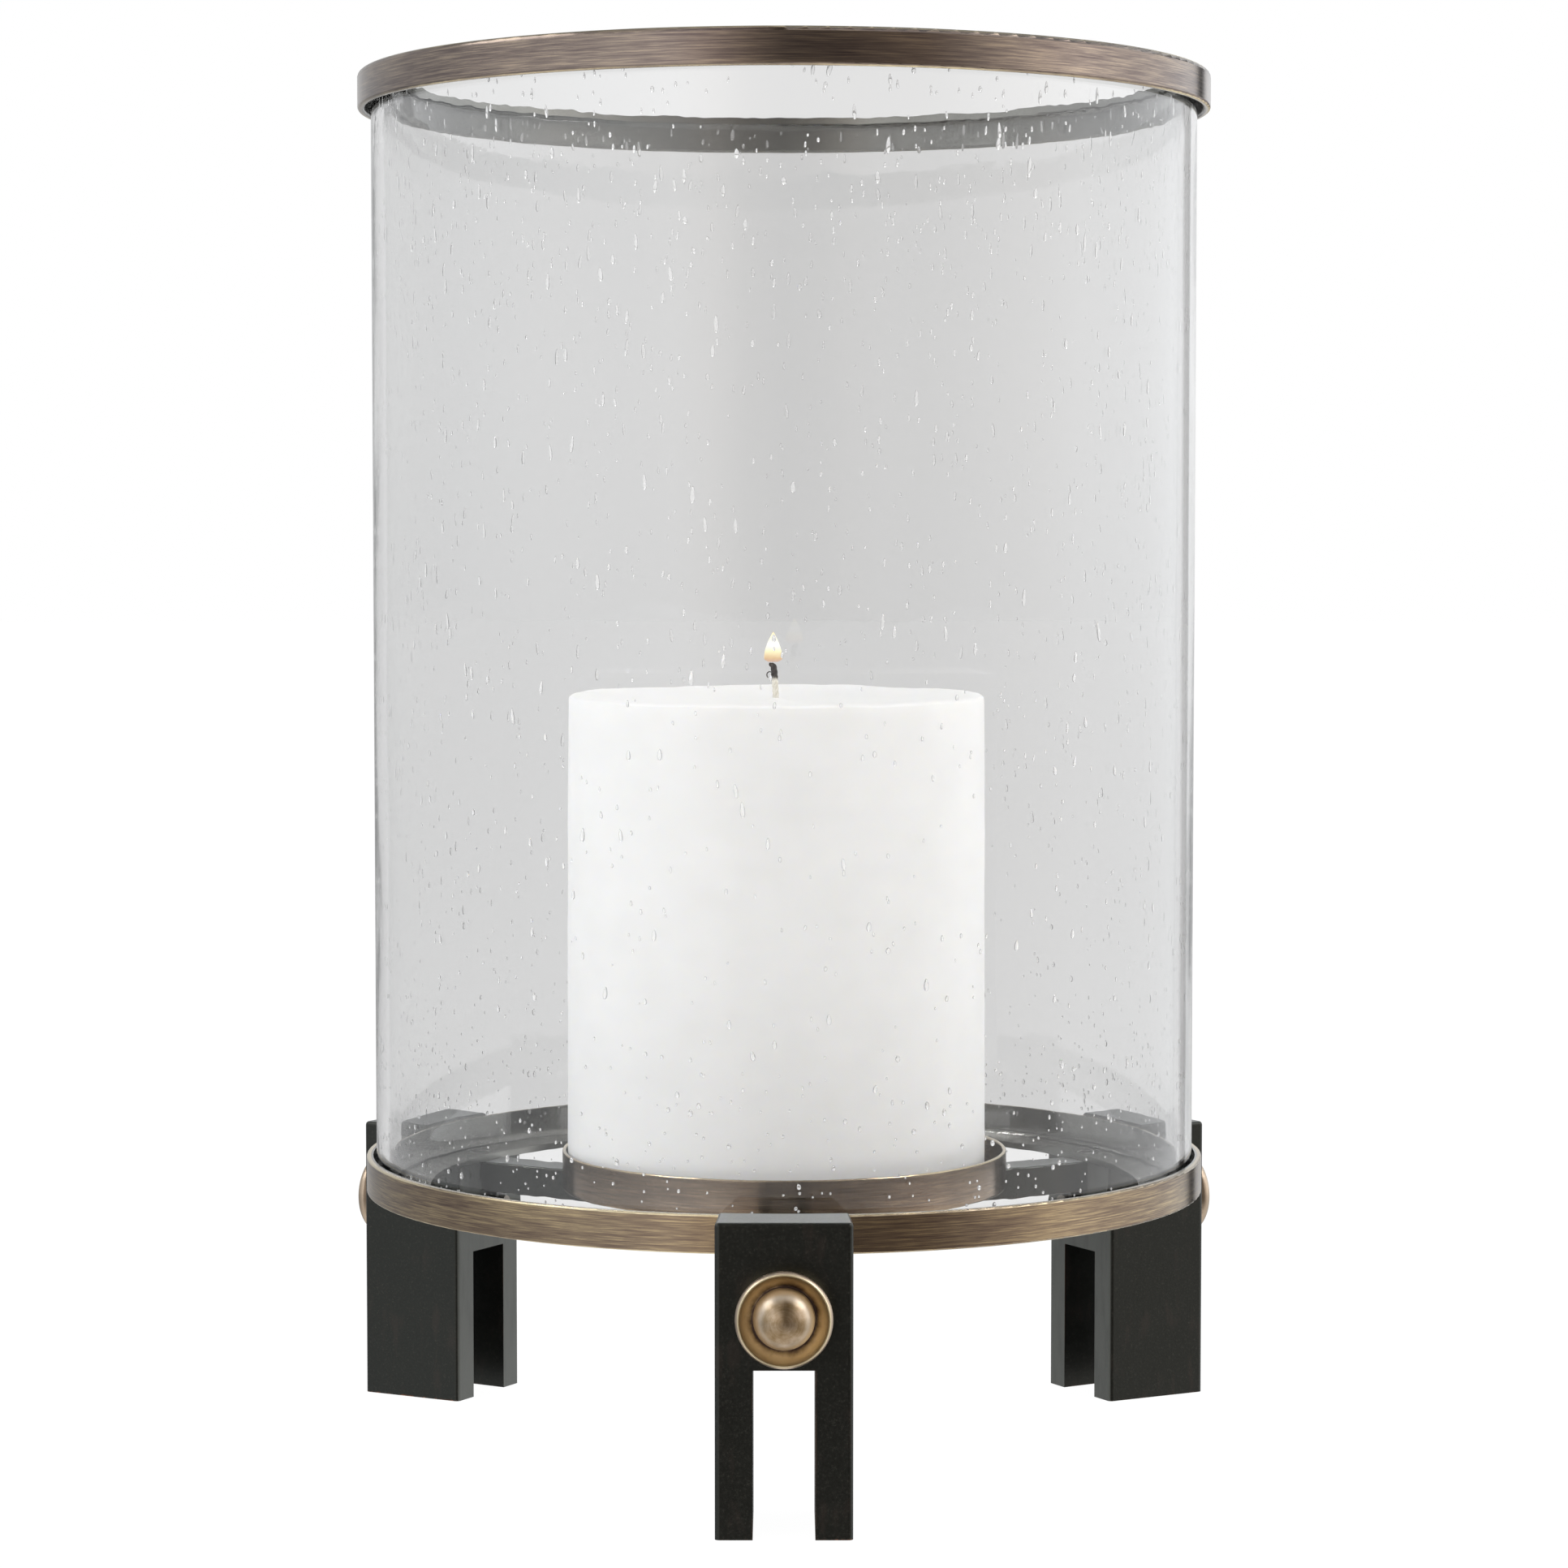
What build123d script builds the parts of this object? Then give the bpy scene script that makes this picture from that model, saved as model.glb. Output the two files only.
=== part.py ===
"""Pillar candle holder: a seeded glass cylinder with a brass rim stands in a brass base ring
on three forked black legs. A Y-shaped spider under the ring joins the legs and carries a
shallow brass cup with the pillar candle.

The holder's axis is Z, through the origin, and Z = 0 is the surface that it stands on.
The front leg points along -Y and the other two stand 120 degrees to either side of it.
"""
from build123d import *
from math import cos, radians, sin
import os

os.makedirs("parts", exist_ok=True)

# ---------------------------------------------------------------- driving dimensions, in mm
overall_height = 414.4

leg_directions = {"front": -90.0, "rear_left": 150.0, "rear_right": 30.0}  # degrees about Z
leg_outer_radius = 145.0        # holder's axis to the outer face of a leg
leg_inner_radius = 110.0        # holder's axis to the inner face of a leg
leg_outer_width = 38.2
leg_inner_width = 34.8
leg_height = 87.8
leg_edge_radius = 1.4           # upright edges
leg_top_edge_radius = 1.2
fork_width = 17.2               # slot between the two prongs of a leg
fork_height = 47.0
ledge_height = 76.0             # top of the inner part of a leg, where the base ring sits
ring_gap = 0.15                 # between the base ring and the leg's outer riser

base_ring_radius = 128.0        # outer face
base_ring_wall = 2.0
base_ring_height = 11.0
flange_thickness = 2.0
flange_inner_radius = 108.7

glass_radius = 125.0            # outer face
glass_wall = 4.0
glass_edge_radius = 1.3         # fire-polished ends
rim_radius = 129.0              # outer face of the ring on top of the glass
rim_wall = 2.2
rim_height = 10.8
rim_flange_thickness = 2.0
rim_flange_inner_radius = 119.5

arm_width = 12.4
arm_height = 9.7
arm_edge_radius = 0.8
hub_radius = 17.0

cup_radius = 68.3               # outer face of the candle cup
cup_wall = 1.2
cup_height = 11.8
cup_floor = 2.0

candle_top_radius = 63.9
candle_base_radius = 64.4
candle_height = 150.8
candle_edge_radius = 1.6
candle_cup_clearance = 0.3      # candle to cup wall at its nearest
melt_depth = 4.2                # centre of the burnt hollow below the candle's rim
melt_rim_width = 5.0            # flat rim left around the hollow
wick_radius = 1.1
wick_above_melt = 12.2

knob_height = 62.0              # height of the decorative bolts' axis
rosette_radius = 13.4           # dished cup washer under each bolt's head
rosette_depth = 7.0             # crest of the dish off the leg's face
rosette_shoulder = 4.6          # widest circle of the dish off the leg's face
rosette_crest_radius = 12.7
rosette_seat_radius = 6.0
rosette_floor = 3.0             # thickness of the dish under the head
rosette_bulge = 1.2             # how far the saucer's back stands out of a straight cone
shoulder_bulge = 0.35           # the same for its shoulder, between widest circle and crest
rosette_lip = 0.3               # flat of the crest
groove_radius = 9.1             # foot of the dish, around the bolt's head
dome_radius = 8.55
dome_skirt = 0.7                # straight side under the domed head
bolt_radius = 2.5
bolt_hole_radius = 2.6
bolt_end = 2.0                  # thread showing past the nut
nut_width = 8.0                 # across flats
nut_height = 4.0

screw_radius = 2.0              # countersunk screws in the ring and in the cup
screw_hole_radius = 2.1
screw_head_radius = 3.75
screw_length = 11.5
screw_slot_width = 0.9
screw_slot_depth = 0.8
ring_screw_circle = 114.5       # radius of the circle of the three ring screws

# ---------------------------------------------------------------- heights that follow
flange_top = ledge_height + flange_thickness
cup_floor_top = ledge_height + cup_floor
glass_top = overall_height - rim_flange_thickness
candle_rim_height = cup_floor_top + candle_height
melt_height = candle_rim_height - melt_depth
screw_head_height = screw_head_radius - screw_radius
cup_inner_radius = cup_radius - cup_wall
candle_offset = cup_inner_radius - candle_base_radius - candle_cup_clearance


def outward(direction):
    """Unit vector away from the holder's axis at this angle."""
    return Vector(cos(radians(direction)), sin(radians(direction)), 0)


def plan_plane(direction, height=0.0):
    """Horizontal plane on the holder's axis, with its x along the leg's direction."""
    return Plane(origin=(0, 0, height), x_dir=outward(direction), z_dir=(0, 0, 1))


def face_plane(direction, radius, height=0.0):
    """Vertical plane across the leg's direction, facing outward, with its y upward."""
    along = outward(direction)
    return Plane(
        origin=along * radius + Vector(0, 0, height),
        x_dir=Vector(0, 0, 1).cross(along),
        z_dir=along,
    )


def bolt_axis(direction):
    """Line through a leg, outward, at the decorative bolt's height."""
    along = outward(direction)
    return Axis(along * leg_outer_radius + Vector(0, 0, knob_height), along)


def bolt_profile_plane(direction):
    """Plane of a turned profile on the bolt's axis: x is off the leg's face, y is upward."""
    along = outward(direction)
    return Plane(
        origin=along * leg_outer_radius + Vector(0, 0, knob_height),
        x_dir=along,
        z_dir=along.cross(Vector(0, 0, 1)),
    )


def save(part, name):
    """Label a finished piece and write it as a STEP file."""
    part.label = name
    export_step(part, f"parts/{name}.step")


# ---------------------------------------------------------------- forked legs
def make_leg(direction):
    """A block that narrows inward, notched for the base ring and forked from the sole."""
    with BuildPart() as leg:
        with BuildSketch(plan_plane(direction)):
            with BuildLine():
                Polyline(
                    (leg_inner_radius, -leg_inner_width / 2),
                    (leg_outer_radius, -leg_outer_width / 2),
                    (leg_outer_radius, leg_outer_width / 2),
                    (leg_inner_radius, leg_inner_width / 2),
                    close=True,
                )
            make_face()
        extrude(amount=leg_height)
        fillet(leg.edges().filter_by(Axis.Z), leg_edge_radius)

        # The base ring's seat: everything inside the riser ends at the ledge.
        with BuildSketch(plan_plane(direction, ledge_height)):
            Circle(base_ring_radius + ring_gap)
        extrude(amount=leg_height, mode=Mode.SUBTRACT)
        fillet(leg.faces().sort_by(Axis.Z)[-1].edges(), leg_top_edge_radius)

        # The fork, open at the sole and through both faces.
        with BuildSketch(face_plane(direction, leg_inner_radius - 1)):
            Rectangle(fork_width, 2 * fork_height)
        extrude(amount=leg_outer_radius, mode=Mode.SUBTRACT)

        # Clearance hole for the decorative bolt and tapped hole for the ring screw.
        with BuildSketch(face_plane(direction, leg_inner_radius - 1, knob_height)):
            Circle(bolt_hole_radius)
        extrude(amount=leg_outer_radius, mode=Mode.SUBTRACT)
        with BuildSketch(plan_plane(direction, ledge_height)):
            with Locations((ring_screw_circle, 0)):
                Circle(screw_radius)
        extrude(amount=-screw_length + flange_thickness, mode=Mode.SUBTRACT)
    return leg.part


# ---------------------------------------------------------------- decorative bolts
def make_rosette(direction):
    """Dished cup washer: a saucer back, a rounded shoulder, a thin crest and a flat floor."""
    with BuildPart() as rosette:
        with BuildSketch(bolt_profile_plane(direction)):
            with BuildLine():
                Line((0, bolt_hole_radius), (0, rosette_seat_radius))
                SagittaArc(
                    (0, rosette_seat_radius), (rosette_shoulder, rosette_radius), rosette_bulge
                )
                SagittaArc(
                    (rosette_shoulder, rosette_radius),
                    (rosette_depth, rosette_crest_radius),
                    shoulder_bulge,
                )
                Line(
                    (rosette_depth, rosette_crest_radius),
                    (rosette_depth, rosette_crest_radius - rosette_lip),
                )
                SagittaArc(
                    (rosette_depth, rosette_crest_radius - rosette_lip),
                    (rosette_floor, groove_radius),
                    -rosette_bulge / 2,
                )
                Line((rosette_floor, groove_radius), (rosette_floor, bolt_hole_radius))
                Line((rosette_floor, bolt_hole_radius), (0, bolt_hole_radius))
            make_face()
        revolve(axis=bolt_axis(direction))
    return rosette.part


def make_dome_bolt(direction):
    """Ball-headed bolt: a dome on a short skirt, and a shank right through the leg."""
    leg_depth = leg_outer_radius - leg_inner_radius
    shank_end = -leg_depth - nut_height - bolt_end
    with BuildPart() as bolt:
        with BuildSketch(bolt_profile_plane(direction)):
            with BuildLine():
                Line((shank_end, 0), (shank_end, bolt_radius))
                Line((shank_end, bolt_radius), (rosette_floor, bolt_radius))
                Line((rosette_floor, bolt_radius), (rosette_floor, dome_radius))
                Line(
                    (rosette_floor, dome_radius), (rosette_floor + dome_skirt, dome_radius)
                )
                CenterArc((rosette_floor + dome_skirt, 0), dome_radius, 90, -90)
                Line((rosette_floor + dome_skirt + dome_radius, 0), (shank_end, 0))
            make_face()
        revolve(axis=bolt_axis(direction))
    return bolt.part


for leg_name, leg_direction in leg_directions.items():
    save(make_leg(leg_direction), f"leg_{leg_name}")
    save(make_rosette(leg_direction), f"rosette_{leg_name}")
    save(make_dome_bolt(leg_direction), f"dome_bolt_{leg_name}")

# Hexagon nuts on the inner faces of the legs, one on each bolt.
with BuildPart() as hex_nuts:
    for leg_direction in leg_directions.values():
        with BuildSketch(face_plane(leg_direction, leg_inner_radius, knob_height)):
            RegularPolygon(nut_width / 2, 6, major_radius=False)
            Circle(bolt_radius, mode=Mode.SUBTRACT)
        extrude(amount=-nut_height)
save(hex_nuts.part, "hex_nuts")

# ---------------------------------------------------------------- base ring and its screws
with BuildPart() as base_ring:
    with BuildSketch(Plane.XZ):
        with BuildLine():
            Polyline(
                (flange_inner_radius, ledge_height),
                (base_ring_radius, ledge_height),
                (base_ring_radius, ledge_height + base_ring_height),
                (base_ring_radius - base_ring_wall, ledge_height + base_ring_height),
                (base_ring_radius - base_ring_wall, flange_top),
                (flange_inner_radius, flange_top),
                close=True,
            )
        make_face()
    revolve(axis=Axis.Z)
    outer_edges = base_ring.edges().filter_by(
        lambda edge: edge.geom_type == GeomType.CIRCLE and edge.radius > base_ring_radius - 0.1
    )
    fillet(outer_edges, 0.5)
    with Locations((0, 0, flange_top)):
        with PolarLocations(ring_screw_circle, 3, start_angle=-90):
            CounterSinkHole(
                screw_hole_radius, screw_head_radius, depth=flange_thickness + 1,
                counter_sink_angle=90,
            )
save(base_ring.part, "base_ring")


def add_countersunk_screw():
    """One screw with its head's top at each active location, with a straight driver slot."""
    Cone(
        screw_radius, screw_head_radius, screw_head_height,
        align=(Align.CENTER, Align.CENTER, Align.MAX),
    )
    Cylinder(screw_radius, screw_length, align=(Align.CENTER, Align.CENTER, Align.MAX))
    Box(
        2 * screw_head_radius, screw_slot_width, screw_slot_depth,
        align=(Align.CENTER, Align.CENTER, Align.MAX), mode=Mode.SUBTRACT,
    )


with BuildPart() as ring_screws:
    with Locations((0, 0, flange_top)):
        with PolarLocations(ring_screw_circle, 3, start_angle=-90):
            add_countersunk_screw()
save(ring_screws.part, "ring_screws")

# ---------------------------------------------------------------- spider and candle cup
with BuildPart() as spider_frame:
    with BuildSketch(Plane.XY.offset(ledge_height - arm_height)):
        Circle(hub_radius)
        with PolarLocations(leg_inner_radius / 2, 3, start_angle=-90):
            Rectangle(leg_inner_radius, arm_width)
    extrude(amount=arm_height)
    arm_top_edges = spider_frame.faces().sort_by(Axis.Z)[-1].edges().filter_by(
        lambda edge: edge.length > 2 * arm_width
    )
    fillet(arm_top_edges, arm_edge_radius)
    with Locations((0, 0, ledge_height)):
        Hole(screw_radius)
save(spider_frame.part, "spider_frame")

with BuildPart() as candle_cup:
    with BuildSketch(Plane.XZ):
        with BuildLine():
            Polyline(
                (0, ledge_height),
                (cup_radius, ledge_height),
                (cup_radius, ledge_height + cup_height),
                (cup_inner_radius, ledge_height + cup_height),
                (cup_inner_radius, cup_floor_top),
                (0, cup_floor_top),
                close=True,
            )
        make_face()
    revolve(axis=Axis.Z)
    rim_edges = candle_cup.edges().group_by(Axis.Z)[-1]
    fillet(rim_edges, 0.4)
    fillet(candle_cup.edges().group_by(Axis.Z)[0], 0.9)
    with Locations((0, 0, cup_floor_top)):
        CounterSinkHole(
            screw_hole_radius, screw_head_radius, depth=cup_floor + 1, counter_sink_angle=90
        )
save(candle_cup.part, "candle_cup")

with BuildPart() as cup_screw:
    with Locations((0, 0, cup_floor_top)):
        add_countersunk_screw()
save(cup_screw.part, "cup_screw")

# ---------------------------------------------------------------- glass and its rim
with BuildPart() as glass_cylinder:
    with BuildSketch(Plane.XY.offset(flange_top)):
        Circle(glass_radius)
        Circle(glass_radius - glass_wall, mode=Mode.SUBTRACT)
    extrude(amount=glass_top - flange_top)
    fillet(glass_cylinder.edges().filter_by(GeomType.CIRCLE), glass_edge_radius)
save(glass_cylinder.part, "glass_cylinder")

with BuildPart() as rim_ring:
    with BuildSketch(Plane.XZ):
        with BuildLine():
            Polyline(
                (rim_radius, overall_height - rim_height),
                (rim_radius, overall_height),
                (rim_flange_inner_radius, overall_height),
                (rim_flange_inner_radius, glass_top),
                (rim_radius - rim_wall, glass_top),
                (rim_radius - rim_wall, overall_height - rim_height),
                close=True,
            )
        make_face()
    revolve(axis=Axis.Z)
    top_outer_edge = rim_ring.edges().group_by(Axis.Z)[-1].sort_by(SortBy.RADIUS)[-1]
    fillet(top_outer_edge, 1.4)
    fillet(rim_ring.edges().group_by(Axis.Z)[0], 0.8)
save(rim_ring.part, "rim_ring")

# ---------------------------------------------------------------- candle
candle_plane = Plane(origin=(-candle_offset, 0, 0), x_dir=(1, 0, 0), z_dir=(0, -1, 0))
candle_axis = Axis((-candle_offset, 0, 0), (0, 0, 1))

with BuildPart() as candle_wax:
    with BuildSketch(candle_plane):
        with BuildLine():
            Polyline(
                (wick_radius, melt_height),
                (wick_radius, cup_floor_top),
                (candle_base_radius, cup_floor_top),
                (candle_top_radius, candle_rim_height),
                (candle_top_radius - melt_rim_width, candle_rim_height),
            )
            Spline(
                (candle_top_radius - melt_rim_width, candle_rim_height),
                (candle_top_radius / 2, melt_height + melt_depth / 5),
                (wick_radius, melt_height),
                tangents=((-1, -0.12), (-1, 0)),
            )
        make_face()
    revolve(axis=candle_axis)
    side_edges = candle_wax.edges().filter_by(
        lambda edge: edge.geom_type == GeomType.CIRCLE and edge.radius > candle_top_radius - 1
    )
    fillet(side_edges, candle_edge_radius)
save(candle_wax.part, "candle_wax")

with BuildPart() as wick:
    with BuildSketch(candle_plane):
        with BuildLine():
            Polyline(
                (0, cup_floor_top),
                (wick_radius, cup_floor_top),
                (wick_radius, melt_height + wick_above_melt - wick_radius),
                (0, melt_height + wick_above_melt),
                close=True,
            )
        make_face()
    revolve(axis=candle_axis)
save(wick.part, "wick")
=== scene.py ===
"""Looks of the pillar candle holder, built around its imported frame, in metres on the frame's axes."""

import math
import random
from types import SimpleNamespace

import bmesh
import bpy
import numpy as np
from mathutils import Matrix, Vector, noise


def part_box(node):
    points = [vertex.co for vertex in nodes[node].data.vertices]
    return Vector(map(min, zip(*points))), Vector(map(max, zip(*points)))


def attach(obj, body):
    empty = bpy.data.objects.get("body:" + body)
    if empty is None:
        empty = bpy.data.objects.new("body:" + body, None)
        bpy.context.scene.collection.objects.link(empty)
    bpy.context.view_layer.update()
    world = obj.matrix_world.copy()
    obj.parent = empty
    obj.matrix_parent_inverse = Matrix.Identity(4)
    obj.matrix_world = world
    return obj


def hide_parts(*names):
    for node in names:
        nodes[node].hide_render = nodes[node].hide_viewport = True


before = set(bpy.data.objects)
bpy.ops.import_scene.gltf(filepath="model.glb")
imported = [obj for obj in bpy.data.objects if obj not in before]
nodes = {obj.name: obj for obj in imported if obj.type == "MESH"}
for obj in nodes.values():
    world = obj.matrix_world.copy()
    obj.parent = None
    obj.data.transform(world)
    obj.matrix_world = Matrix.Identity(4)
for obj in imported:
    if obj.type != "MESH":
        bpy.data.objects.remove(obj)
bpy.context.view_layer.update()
scene = bpy.context.scene

MM = 0.001
GLASS_LOW, GLASS_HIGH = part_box("glass_cylinder")
RIM_LOW, RIM_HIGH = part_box("rim_ring")
BASE_LOW, BASE_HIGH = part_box("base_ring")
CUP_LOW, CUP_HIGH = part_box("candle_cup")
WAX_LOW, WAX_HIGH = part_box("candle_wax")
_, WICK_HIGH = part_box("wick")
DOME_LOW, DOME_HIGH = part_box("dome_bolt_front")
LEG_LOW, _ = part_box("leg_front")

KNOB_HEIGHT = (DOME_LOW.z + DOME_HIGH.z) / 2
GLASS_RADIUS = GLASS_HIGH.x
WAX_RADIUS = (WAX_HIGH.x - WAX_LOW.x) / 2
WAX_CENTRE = Vector(((WAX_HIGH.x + WAX_LOW.x) / 2, 0, 0))
CUP_RADIUS = CUP_HIGH.x
LEG_FACE = -LEG_LOW.y


# ------------------------------------------------------------------ camera
LENS = 95.1  # focal length, in the camera's own millimetres
SENSOR = 36.0
CAMERA_PLACE = (0, -1.2683, 0.2723)
CAMERA_TILT = 0.0572  # radians below level


def make_camera():
    """A long lens a little above the holder's middle, looking slightly down."""
    data = bpy.data.cameras.new("camera")
    data.lens = LENS
    data.sensor_width = SENSOR
    camera = bpy.data.objects.new("camera", data)
    camera.location = CAMERA_PLACE
    camera.rotation_euler = (math.pi / 2 - CAMERA_TILT, 0, 0)
    scene.collection.objects.link(camera)
    scene.camera = camera


# ------------------------------------------------------------------ node trees
class Tree:
    """A node tree with short ways to add its nodes."""

    def __init__(self, owner):
        owner.use_nodes = True
        self.nodes = owner.node_tree.nodes
        self.links = owner.node_tree.links
        self.nodes.clear()

    def put(self, socket, value):
        if isinstance(value, bpy.types.NodeSocket):
            self.links.new(value, socket)
        else:
            socket.default_value = value

    def add(self, kind, inputs=None, **settings):
        made = self.nodes.new("ShaderNode" + kind)
        for name, value in settings.items():
            setattr(made, name, value)
        for key, value in (inputs or {}).items():
            self.put(made.inputs[key], value)
        return made

    def math(self, operation, a, b=0.0, c=0.0, clamp=False):
        made = self.add("Math", {0: a, 1: b, 2: c}, operation=operation, use_clamp=clamp)
        return made.outputs[0]

    def vector(self, operation, a, b=(0, 0, 0)):
        made = self.add("VectorMath", {0: a, 1: b}, operation=operation)
        return made.outputs["Value" if operation in ("LENGTH", "DISTANCE", "DOT_PRODUCT") else "Vector"]

    def join(self, x, y, z):
        return self.add("CombineXYZ", {0: x, 1: y, 2: z}).outputs[0]

    def place(self):
        """Object coordinates, which are the row frame's at rest, and their x, y and z."""
        point = self.add("TexCoord").outputs["Object"]
        parts = self.add("SeparateXYZ", {0: point}).outputs
        return point, parts[0], parts[1], parts[2]

    def radius(self, x, y):
        return self.vector("LENGTH", self.join(x, y, 0.0))

    def noise(self, point, scale, detail=3.0, roughness=0.55):
        inputs = {"Vector": point, "Scale": scale, "Detail": detail, "Roughness": roughness}
        return self.add("TexNoise", inputs).outputs[0]

    def ramp(self, factor, *stops):
        made = self.add("ValToRGB", {0: factor})
        made.color_ramp.interpolation = "LINEAR"
        elements = made.color_ramp.elements
        while len(elements) < len(stops):
            elements.new(0.5)
        for element, (position, colour) in zip(elements, stops):
            element.position = position
            grey = not hasattr(colour, "__len__")
            element.color = (colour, colour, colour, 1) if grey else (*colour, 1)
        return made.outputs[0]

    def mix(self, factor, a, b, blend="MIX"):
        a, b = (v if isinstance(v, bpy.types.NodeSocket) else (*v, 1) for v in (a, b))
        made = self.add("Mix", {0: factor, 6: a, 7: b}, data_type="RGBA", blend_type=blend)
        return made.outputs[2]

    def span(self, value, low, high, to_low=0.0, to_high=1.0, smooth=True):
        """value from low..high to to_low..to_high, held at both ends."""
        made = self.add(
            "MapRange", {0: value, 1: low, 2: high, 3: to_low, 4: to_high},
            interpolation_type="SMOOTHSTEP" if smooth else "LINEAR",
        )
        return made.outputs[0]

    def near(self, value, centre, width):
        """1 at the centre, falling to 0 at the width."""
        return self.span(self.math("ABSOLUTE", self.math("SUBTRACT", value, centre)), 0.0, width, 1.0, 0.0)

    def bump(self, height, distance, strength=1.0, normal=None):
        inputs = {"Height": height, "Distance": distance, "Strength": strength}
        if normal is not None:
            inputs["Normal"] = normal
        return self.add("Bump", inputs).outputs[0]

    def surface(self, **inputs):
        """A Principled shader joined to the output."""
        shader = self.add("BsdfPrincipled")
        for name, value in inputs.items():
            self.put(shader.inputs[name.replace("_", " ")], value)
        output = self.add("OutputMaterial")
        self.links.new(shader.outputs[0], output.inputs[0])
        return shader


def material(name):
    made = bpy.data.materials.new(name)
    return made, Tree(made)


def dress(name, made):
    """Gives a CAD node its material."""
    for slot in nodes[name].material_slots:
        slot.material = made


# ------------------------------------------------------------------ materials
def brushed_brass(name, low, high, outer_radius, dark, mid, light, edge, seed):
    """Antique brass, brushed round the holder's axis; its outer edges carry a pale line, partly rubbed-off
    patina and partly a painted highlight.
    """
    made, tree = material(name)
    point, x, y, z = tree.place()
    radius = tree.radius(x, y)
    across = tree.math("ADD", z, radius)

    def stretched(along, over):
        """Coordinates with marks 1 / along long round the axis and 1 / over wide across it."""
        return tree.join(
            tree.math("MULTIPLY", x, along), tree.math("MULTIPLY", y, along),
            tree.math("MULTIPLY_ADD", across, over, seed),
        )

    streak = tree.noise(stretched(75.0, 2500.0), 1.0, 4.0, 0.62)
    hair = tree.noise(stretched(40.0, 6500.0), 1.0, 2.0)
    patina = tree.noise(stretched(22.0, 150.0), 1.0, 5.0, 0.6)
    cloud = tree.noise(tree.vector("ADD", point, (seed, 0, 0)), 60.0, 4.0)
    tone = tree.math("MULTIPLY_ADD", streak, 0.62, tree.math("MULTIPLY", patina, 0.28))
    tone = tree.math("MULTIPLY_ADD", hair, 0.28, tree.math("MULTIPLY_ADD", cloud, 0.12, tone))
    colour = tree.ramp(tone, (0.50, dark), (0.645, mid), (0.80, light))
    # The pale edge line: partly rubbed-off patina, partly a painted highlight along the rounded top and foot
    # edges.
    wander = tree.noise(tree.vector("ADD", point, (0, seed, 0)), 240.0, 3.0)
    reach = tree.span(wander, 0.3, 0.7, 0.15 * MM, 0.4 * MM)
    top = tree.math("DIVIDE", tree.math("SUBTRACT", z, high.z - 0.62 * MM), reach, clamp=True)
    foot = tree.math("DIVIDE", tree.math("SUBTRACT", low.z + 0.5 * MM, z), reach, clamp=True)
    outside = tree.span(radius, outer_radius - 1.6 * MM, outer_radius - 1.2 * MM)
    worn = tree.math("MULTIPLY", tree.math("MAXIMUM", top, foot), outside)
    broad = tree.noise(tree.vector("ADD", point, (0, 0, seed)), 9.0, 2.0)
    worn = tree.math("MULTIPLY", worn, tree.span(broad, 0.42, 0.56, 0.3, 0.9))
    colour = tree.mix(worn, colour, edge)
    colour = tree.mix(outside, tree.mix(cloud, (0.16, 0.16, 0.148), (0.33, 0.328, 0.305)), colour)
    rough = tree.math("MULTIPLY_ADD", streak, 0.14, 0.14)
    rough = tree.math("MULTIPLY_ADD", worn, -0.04, rough)
    normal = tree.bump(streak, 0.025 * MM, 0.5, tree.bump(hair, 0.015 * MM, 0.4))
    shader = tree.surface(Base_Color=colour, Metallic=1.0, Roughness=rough, Normal=normal)
    shader.inputs["Anisotropic"].default_value = 0.88
    shader.inputs["Anisotropic Rotation"].default_value = 0.25
    tangent = tree.add("Tangent", direction_type="RADIAL", axis="Z")
    tree.links.new(tangent.outputs[0], shader.inputs["Tangent"])
    return made


def leg_coordinates(tree):
    """The holder's three thirds folded onto one leg: the point, its distance from that leg's bolt
    axis, outward and aside, its height, the leg's direction, and the tangent round the bolt."""
    point, x, y, z = tree.place()
    around = tree.math("ADD", tree.math("ARCTAN2", y, x), math.pi / 2)
    folded = tree.math("WRAP", around, math.pi / 3, -math.pi / 3)
    radius = tree.radius(x, y)
    outward = tree.math("MULTIPLY", radius, tree.math("COSINE", folded))
    aside = tree.math("MULTIPLY", radius, tree.math("SINE", folded))
    up = tree.math("SUBTRACT", z, KNOB_HEIGHT)
    from_axis = tree.vector("LENGTH", tree.join(aside, up, 0.0))
    leg_angle = tree.math("SUBTRACT", tree.math("SUBTRACT", around, folded), math.pi / 2)
    direction = tree.join(tree.math("COSINE", leg_angle), tree.math("SINE", leg_angle), 0.0)
    tangent = tree.vector("CROSS_PRODUCT", direction, tree.join(x, y, up))
    return SimpleNamespace(
        point=point, from_axis=from_axis, outward=outward, aside=aside, height=z,
        direction=direction, tangent=tangent,
    )


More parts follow.
